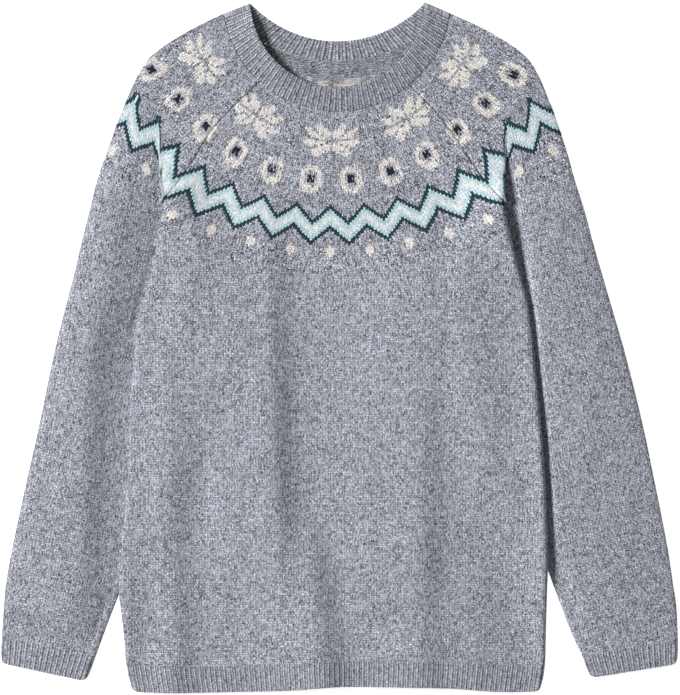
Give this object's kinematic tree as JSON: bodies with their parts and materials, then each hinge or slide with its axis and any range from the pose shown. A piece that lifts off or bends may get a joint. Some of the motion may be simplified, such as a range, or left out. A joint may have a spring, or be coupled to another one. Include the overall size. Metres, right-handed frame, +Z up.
{
  "type": "christmas sweater",
  "caption": "Long raglan knitted jumper laid flat, sleeves tucked behind the body, with ribbed neckband, hem and cuffs and a round winter yoke pattern.",
  "frame": {"origin": "middle of the garment's outline, on the surface that it lies on", "axes": "+Z up from the surface, out of the front of the garment; +Y from the hem to the neck; +X towards the viewer's right when the neck is at the top"},
  "size_m": [0.7098, 0.7256, 0.0125],
  "materials": {
    "body_knit": "soft heather grey stocking-stitch wool with a two-tone yoke pattern, matt",
    "rib_knit": "soft heather grey one-by-one rib wool, matt"
  },
  "bodies": {
    "root": {"front_panel": "body_knit", "back_panel": "body_knit", "sleeve_left": "body_knit", "sleeve_right": "body_knit", "neckband": "rib_knit", "hem_rib_front": "rib_knit", "hem_rib_back": "rib_knit", "cuff_left": "rib_knit", "cuff_right": "rib_knit"}
  },
  "joints": []
}
